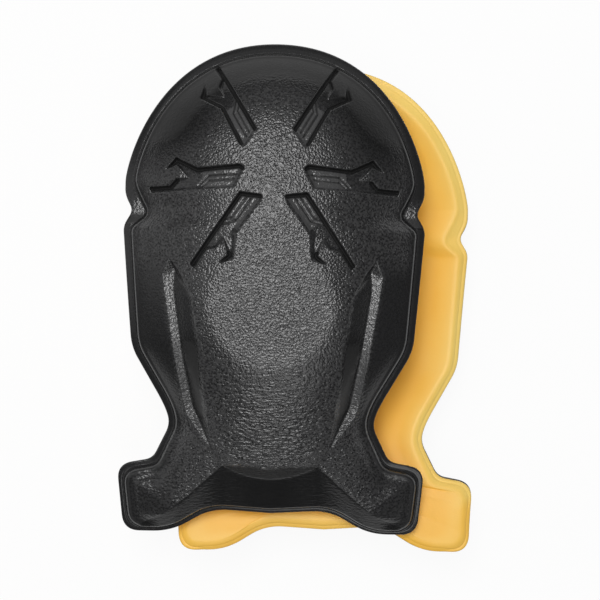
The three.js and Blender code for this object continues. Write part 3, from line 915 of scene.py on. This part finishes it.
def matched(line):
    """Points of a half line that answer to the boundary's points."""
    places = []
    start = 0
    for point in boundary:
        segments = cut_line[start:start + 60]
        runs = np.diff(segments, axis=0)
        if len(runs) == 0:
            places.append(len(cut_line) - 1)
            continue
        share = np.clip(((point - segments[:-1]) * runs).sum(1) / np.maximum((runs ** 2).sum(1), 1e-12), 0, 1)
        gap = np.hypot(*(segments[:-1] + runs * share[:, None] - point).T)
        best = int(gap.argmin())
        places.append(start + best + share[best])
        start += best
    return np.stack([np.interp(places, np.arange(len(line)), line[:, k]) for k in range(2)], 1)


def ring(half_points, levels):
    return np.column_stack([whole(half_points), np.concatenate([levels, levels[-2:0:-1]])])


cut_run = matched(cut_line)
foot_run = matched(foot_line)
shoulder_run = matched(shoulder_line)


def inner_ring(inward, level):
    """A ring between the shoulder and the spine, for one share of the way in."""
    spine_y = np.clip(shoulder_run[:, 1], SPINE_FOOT, SPINE_TOP)
    y = shoulder_run[:, 1] + (spine_y - shoulder_run[:, 1]) * inward
    plan = np.stack([shoulder_run[:, 0] * (1 - inward), y], 1)
    return ring(plan, level(y, inward))


def flat_ring(run, drop):
    return ring(run, bend(run[:, 1]) + drop)


def across_spine(around, first):
    """Faces that close a ring, whose first point has this number, from its right side to its left."""
    faces = []
    for step in range(around // 2):
        corners = dict.fromkeys([step, step + 1, around - step - 1, (around - step) % around])
        if len(corners) > 2:
            faces.append(tuple(first + corner for corner in corners))
    return faces


def skin(rings):
    """Points and faces of a surface through rings of like numbers, the last one closed across the spine."""
    around = len(rings[0])
    faces = []
    for index in range(len(rings) - 1):
        outer, inner = index * around, (index + 1) * around
        for step in range(around):
            after = (step + 1) % around
            faces.append((outer + step, outer + after, inner + after, inner + step))
    return np.vstack(rings), faces + across_spine(around, (len(rings) - 1) * around)


def add_values(mesh, name, values):
    """One number for each point of a mesh, for its material to read."""
    layer = mesh.attributes.new(name, "FLOAT", "POINT")
    layer.data.foreach_set("value", np.ascontiguousarray(values, np.float32))


def to_mesh(name, points, faces):
    mesh = bpy.data.meshes.new(name)
    mesh.from_pydata([tuple(p) for p in points * METRES], [], [tuple(int(v) for v in f) for f in faces])
    mesh.validate()
    mesh.update()
    for polygon in mesh.polygons:
        polygon.use_smooth = True
    return mesh


# Rings, as shares of the way over each stretch. Those of the shell's under edge have heights too.
HOLLOW_SHARES = (0, 0.12, 0.24, 0.36, 0.5, 0.62, 0.74, 0.88)
UNDER_EDGE = ((0, 0.5), (0.08, 0.1), (0.2, 0), (1, 0))
LIP_SHARES = (0, 0.05, 0.1, 0.16, 0.23, 0.31, 0.4, 0.5, 0.62, 0.74, 0.87, 1)
BOLSTER_SHARES = (0.2, 0.4, 0.6, 0.8)
BOWL_SHARES = (0, 0.012, 0.025, 0.04, 0.06, 0.08, 0.105, 0.13, 0.16, 0.2, 0.24, 0.28, 0.33, 0.38, 0.45, 0.52, 0.6,
               0.68, 0.76, 0.84, 0.92)

# How the cushion's section swells, and how it is smoothed along the section and round the wings
SWELL_DROP = BOLSTER_DROP * 0.45
SECTION_PASSES = 14
SECTION_PAST = 10
RING_PASSES = 16
LIP_ROUNDING = 0.5


def shell_mesh():
    """One shell: the fine crown side, the cut edge and the hollow side."""
    top, faces, finish = crown_side()
    finder = finder_of(top)
    edge = [finder.find((x, y, 0))[1] for x, y in whole(boundary)]
    under, under_faces = skin([
        *(flat_ring(cut_run + (foot_run - cut_run) * share, rise - SHELL_RIM) for share, rise in UNDER_EDGE),
        *(inner_ring(share, hollow_level) for share in HOLLOW_SHARES),
    ])
    offset = len(top)
    around = len(edge)
    band = []
    for step in range(around):
        after = (step + 1) % around
        band.append((edge[step], edge[after], offset + after, offset + step))
    under_faces = [tuple(offset + corner for corner in face) for face in under_faces]
    mesh = to_mesh("pad_shell", np.vstack([top, under]), [*map(tuple, faces), *band, *under_faces])
    plain = np.column_stack([np.full(len(under), 0.4), np.zeros((len(under), 3))])
    for name, values in zip(("grain", "stretch", "edge_paling_and_highlight", "painted_shade"), np.vstack([finish, plain]).T):
        add_values(mesh, name, values)
    return mesh


def bonded_level(y, inward):
    return hollow_level(y, inward) - BOND_GAP


def knee_side(trim_run):
    """Rings of the cushion's knee side, from its lip over the bolster into the bowl."""
    rings = []
    for share in LIP_SHARES:
        swell = SWELL_DROP * fade(share, 0.25, 1.15)
        rings.append(flat_ring(trim_run + (foot_run - trim_run) * share, LIP_LEVEL - swell))
    for share in BOLSTER_SHARES:
        drop = BOLSTER_DROP * (0.6 + 0.4 * math.sin(share * math.pi / 2))
        rings.append(flat_ring(foot_run + (shoulder_run - foot_run) * share, LIP_LEVEL - drop))
    outside_bowl = len(rings)
    rings.extend(inner_ring(share, bowl_level) for share in BOWL_SHARES)
    rings = np.array(rings)
    number = np.arange(len(rings))[:, None]
    heights = rings[..., 2]
    section = slice(3, outside_bowl + SECTION_PAST)
    for _ in range(SECTION_PASSES):
        smooth = heights.copy()
        smooth[1:-1] = (heights[:-2] + 2 * heights[1:-1] + heights[2:]) / 4
        heights[section] = smooth[section]
    at_wings = fade(rings[..., 1], WING_BLEND[0], WING_BLEND[0] - 10) * (number > 6)
    for _ in range(RING_PASSES):
        along = (np.roll(heights, 1, 1) + 2 * heights + np.roll(heights, -1, 1)) / 4
        heights += (along - heights) * at_wings
    from_edge = np.hypot(*np.moveaxis(rings[..., :2] - rings[:1, :, :2], -1, 0))
    crease = CREASE_DEPTH * bump_at(from_edge, CREASE_INSET, CREASE_HALF)
    rounding = LIP_ROUNDING * np.clip(1 - from_edge / 0.8, 0, 1) ** 2
    heights += np.where(number < outside_bowl, crease + rounding, 0)
    return rings


def cushion_mesh():
    """One cushion: the side bonded to the shell, the cut edge, its lip crease, bolster and bowl."""
    trim_run = cut_run + unit(foot_run - cut_run) * TRIM
    upper = [
        *(inner_ring(share, bonded_level) for share in HOLLOW_SHARES[::-1]),
        flat_ring(foot_run, BOND_LEVEL),
        flat_ring(trim_run + (foot_run - trim_run) * 0.1, BOND_LEVEL),
        flat_ring(trim_run, BOND_LEVEL - 0.25),
        flat_ring(trim_run, (BOND_LEVEL + LIP_LEVEL) / 2),
    ]
    lower = knee_side(trim_run)
    points, faces = skin([*upper, *lower])
    around = len(upper[0])
    cap = [face[::-1] for face in across_spine(around, 0)]
    mesh = to_mesh("pad_cushion", points, [*faces, *cap])
    # Painted shade: deeper in from the lip, and a painted shadow towards the arched end
    depth = np.concatenate([np.zeros(len(upper)), np.arange(len(lower)) / len(lower)])
    end_shadow = END_SHADOW_DEPTH * fade(points[:, 1], *END_SHADOW)
    add_values(mesh, "cushion_shade", np.maximum(np.repeat(depth, around), end_shadow))
    return mesh


class Nodes:
    """A material's node tree, filled in by short calls."""

    def __init__(self, name):
        self.material = bpy.data.materials.new(name)
        self.material.use_nodes = True
        self.tree = self.material.node_tree
        self.tree.nodes.clear()
        self.output = self.add("ShaderNodeOutputMaterial")

    def add(self, kind, inputs=None, **settings):
        node = self.tree.nodes.new(kind)
        for key, value in settings.items():
            setattr(node, key, value)
        for key, value in (inputs or {}).items():
            self.feed(node.inputs[key], value)
        return node

    def feed(self, socket, value):
        """Links a socket to another node's output, or sets its own value."""
        if isinstance(value, bpy.types.NodeSocket):
            self.tree.links.new(value, socket)
        else:
            socket.default_value = value

    def math(self, operation, a, b=0.0, c=0.0, clamp=False):
        return self.add("ShaderNodeMath", {0: a, 1: b, 2: c}, operation=operation, use_clamp=clamp).outputs[0]

    def noise(self, place, scale, detail=2.0, roughness=0.5):
        inputs = {"Vector": place, "Scale": scale, "Detail": detail, "Roughness": roughness}
        return self.add("ShaderNodeTexNoise", inputs).outputs["Fac"]

    def mix(self, share, a, b):
        node = self.add("ShaderNodeMix", data_type="RGBA")
        for index, value in ((0, share), (6, a), (7, b)):
            self.feed(node.inputs[index], value)
        return node.outputs[2]

    def read(self, name):
        """A value that the mesh holds for each of its points."""
        return self.add("ShaderNodeAttribute", attribute_name=name).outputs["Fac"]

    def map(self, value, low, high):
        return self.add("ShaderNodeMapRange", {"Value": value, "From Min": low, "From Max": high}).outputs[0]

    def foam(self, tone, rough, level, bump):
        """Finishes the material as plain foam."""
        shader = self.add("ShaderNodeBsdfPrincipled", {
            "Base Color": tone, "Roughness": rough, "Specular IOR Level": level, "Normal": bump.outputs[0]})
        self.tree.links.new(shader.outputs[0], self.output.inputs[0])
        return self.material


# Tones of the foams, each with its alpha
BLACK_DEEP = (0.009, 0.009, 0.0094, 1)
BLACK_PALE = (0.013, 0.013, 0.0134, 1)
# Pale pebble tops: grain tone and painted glint
GRAIN_PEAK_AND_GLINT = (0.04, 0.04, 0.0405, 1)
# Paler grey along rounded edges, and as a painted highlight on ribs, ledges and the tongue's sides
PALE_EDGE_AND_HIGHLIGHT_GREY = (0.06, 0.06, 0.0605, 1)
# Painted shade, near black, for slots and for faces turned from the light
PAINTED_SHADE_BLACK = (0.002, 0.002, 0.002, 1)
# Lit and shaded copies of the yellow, mixed by painted shade
YELLOW_LIT = (0.87, 0.63, 0.165, 1)
YELLOW_SHADED = (0.85, 0.46, 0.05, 1)


def shell_material():
    """Black moulded foam: pebbled grain with a painted glint on its tops, drawn out at the foot, paler along
    rounded edges with painted highlights on ribs, ledges and the tongue's sides, dull with painted shade in slots
    and where turned from the light.
    """
    n = Nodes("black_foam")
    place = n.add("ShaderNodeTexCoord").outputs["Object"]
    grain, stretch, edge_paling_and_highlight, painted_shade = (n.read(name) for name in ("grain", "stretch", "edge_paling_and_highlight", "painted_shade"))
    drawn = n.add("ShaderNodeMapping", {"Vector": place, "Scale": (0.42, 1.0, 1.0)}).outputs[0]
    pebble = n.add("ShaderNodeTexVoronoi", {"Vector": place, "Scale": 1000.0, "Smoothness": 0.6},
                   feature="SMOOTH_F1").outputs["Distance"]
    fine = n.noise(place, 900.0, 2.0, 0.55)
    wrinkle = n.noise(drawn, 900.0, 1.5, 0.5)
    broad = n.noise(place, 60.0, 2.0)
    round_height = n.math("MULTIPLY_ADD", fine, 0.9, pebble)
    drawn_height = n.math("MULTIPLY_ADD", wrinkle, 2.6, n.math("MULTIPLY", fine, 0.5))
    height = n.add("ShaderNodeMix", {0: stretch, 2: round_height, 3: drawn_height}).outputs[0]
    strength = n.math("MULTIPLY", grain, 0.52)
    bump = n.add("ShaderNodeBump", {"Strength": strength, "Distance": 0.0005, "Height": height})
    peak = n.map(n.math("ADD", pebble, fine), 0.75, 1.2)
    tone = n.mix(broad, BLACK_DEEP, BLACK_PALE)
    # Painted glint on the pebble tops, as strong as the grain
    tone = n.mix(n.math("MULTIPLY", grain, peak), tone, GRAIN_PEAK_AND_GLINT)
    # Paler along rounded edges, and painted highlights on ribs, ledges and the tongue's sides
    tone = n.mix(n.math("MULTIPLY", edge_paling_and_highlight, 0.5), tone, PALE_EDGE_AND_HIGHLIGHT_GREY)
    # Painted shade: near black in slots, on the bevel, the tongue's end and walls, the head's edge and below the
    # notches
    tone = n.mix(painted_shade, tone, PAINTED_SHADE_BLACK)
    rough = n.math("MULTIPLY_ADD", fine, 0.1, n.math("MULTIPLY_ADD", edge_paling_and_highlight, -0.04, 0.17))
    dull = n.math("SUBTRACT", painted_shade, 0.5, clamp=True)
    return n.foam(tone, n.math("MULTIPLY_ADD", dull, 1.2, rough), 0.4, bump)


def cushion_material():
    """Yellow impact foam: satin and a little mottled, with painted shade deepening its tone in its hollow and
    towards its arched end.
    """
    n = Nodes("yellow_foam")
    place = n.add("ShaderNodeTexCoord").outputs["Object"]
    cells = n.noise(place, 900.0, 3.0, 0.6)
    mottle = n.map(n.noise(place, 22.0, 3.0, 0.55), 0.36, 0.68)
    cushion_shading = n.map(n.read("cushion_shade"), 0.3, 0.75)
    # Painted shade mixes the lit yellow into the shaded one
    tone = n.mix(n.math("MULTIPLY_ADD", mottle, 0.35, cushion_shading, clamp=True), YELLOW_LIT, YELLOW_SHADED)
    bump = n.add("ShaderNodeBump", {"Strength": 0.12, "Distance": 0.0004, "Height": cells})
    return n.foam(tone, n.math("MULTIPLY_ADD", cells, 0.12, 0.44), 0.5, bump)


def placed(name, mesh, turn, flipped, node, body):
    """One piece: the mesh turned as its pad lies and moved to where the frame has its node."""
    low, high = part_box(node)
    turning = Matrix.Rotation(math.radians(turn), 4, "Z")
    if flipped:
        turning = Matrix.Rotation(math.pi, 4, "Y") @ Matrix.Rotation(-math.radians(turn), 4, "Z")
    turned = whole(cut_line) @ np.array(turning)[:2, :2].T
    middle = (turned.min(0) + turned.max(0)) / 2 * METRES
    place = Vector(((low.x + high.x) / 2 - middle[0], (low.y + high.y) / 2 - middle[1], 0))
    shell_low, shell_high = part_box(f"{body}_shell")
    crown = CROWN_FLAT * METRES
    place.z = shell_low.z + crown if flipped else shell_high.z - crown
    piece = bpy.data.objects.new(name, mesh)
    bpy.context.scene.collection.objects.link(piece)
    piece.matrix_world = Matrix.Translation(place) @ turning
    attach(piece, body)
    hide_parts(node)
    return piece


shell = shell_mesh()
shell.materials.append(shell_material())
cushion = cushion_mesh()
cushion.materials.append(cushion_material())
for pad, pad_turn, pad_flipped in (("front_pad", UPPER_TURN, False), ("rear_pad", LOWER_TURN, True)):
    placed(f"{pad}_moulded_shell", shell, pad_turn, pad_flipped, f"{pad}_shell", pad)
    soft = placed(f"{pad}_foam_cushion", cushion, pad_turn, pad_flipped, f"{pad}_cushion", pad)

# Camera straight above, framed as the photograph is
CAMERA_HEIGHT = 0.6
VIEW_WIDTH = 0.2931
VIEW_SHIFT = Vector((0.0131, -0.0059, 0))
front_shell = bpy.data.objects["front_pad_moulded_shell"]
pad_middle = front_shell.matrix_world.translation
camera_data = bpy.data.cameras.new("camera")
camera_data.sensor_width = 36
camera_data.lens = camera_data.sensor_width * CAMERA_HEIGHT / VIEW_WIDTH
camera = bpy.data.objects.new("camera", camera_data)
camera.location = pad_middle + VIEW_SHIFT + Vector((0, 0, CAMERA_HEIGHT))
bpy.context.scene.collection.objects.link(camera)
bpy.context.scene.camera = camera


def soft_light(name, place, aim, size, power):
    data = bpy.data.lights.new(name, "AREA")
    data.shape = "RECTANGLE"
    data.size, data.size_y = size
    data.energy = power
    lamp = bpy.data.objects.new(name, data)
    lamp.location = place
    lamp.rotation_euler = (aim - Vector(place)).to_track_quat("-Z", "Y").to_euler()
    bpy.context.scene.collection.objects.link(lamp)


# The lamps: where each hangs, its width and depth in metres and its power in watts
LAMPS = {
    "key": ((-0.11, 0.34, 1.3), (0.5, 0.66), 12.5),
    "front": ((0.1, -0.5, 1.3), (0.5, 1), 4.4),
    "fill": ((-1.2, 0.3, 0.9), (0.9, 1.4), 2.9),
    "back": ((0, 1.15, 0.95), (1.2, 0.9), 1.2),
}
for lamp_name, (lamp_place, lamp_size, lamp_power) in LAMPS.items():
    soft_light(lamp_name, lamp_place, pad_middle, lamp_size, lamp_power)

world = bpy.data.worlds.new("studio")
world.use_nodes = True
sky = world.node_tree.nodes["Background"].inputs
sky["Color"].default_value = (1, 1, 1, 1)
sky["Strength"].default_value = 0.09
bpy.context.scene.world = world


FLOOR_REACH = 3.0
FLOOR_GLOW = 0.92


def floor_material():
    """Pale floor that shows nearly white to the camera and keeps a faint shadow."""
    n = Nodes("pale_floor")
    plain = n.add("ShaderNodeBsdfDiffuse", {"Color": (0.8, 0.8, 0.8, 1)})
    white = n.add("ShaderNodeEmission", {"Color": (1, 1, 1, 1), "Strength": 1.0})
    ray = n.add("ShaderNodeLightPath")
    seen = n.math("MAXIMUM", ray.outputs["Is Camera Ray"], ray.outputs["Is Transmission Ray"])
    seen = n.math("MAXIMUM", seen, ray.outputs["Is Glossy Ray"])
    share = n.math("MULTIPLY", seen, FLOOR_GLOW)
    both = n.add("ShaderNodeMixShader", {0: share, 1: plain.outputs[0], 2: white.outputs[0]})
    n.tree.links.new(both.outputs[0], n.output.inputs[0])
    return n.material


floor_mesh = bpy.data.meshes.new("floor")
corners = [(x * FLOOR_REACH, y * FLOOR_REACH, 0) for x, y in ((-1, -1), (1, -1), (1, 1), (-1, 1))]
floor_mesh.from_pydata(corners, [], [(0, 1, 2, 3)])
floor_mesh.materials.append(floor_material())
floor = bpy.data.objects.new("floor", floor_mesh)
floor.location.z = -0.0005
bpy.context.scene.collection.objects.link(floor)

bpy.context.scene.view_settings.view_transform = "Standard"
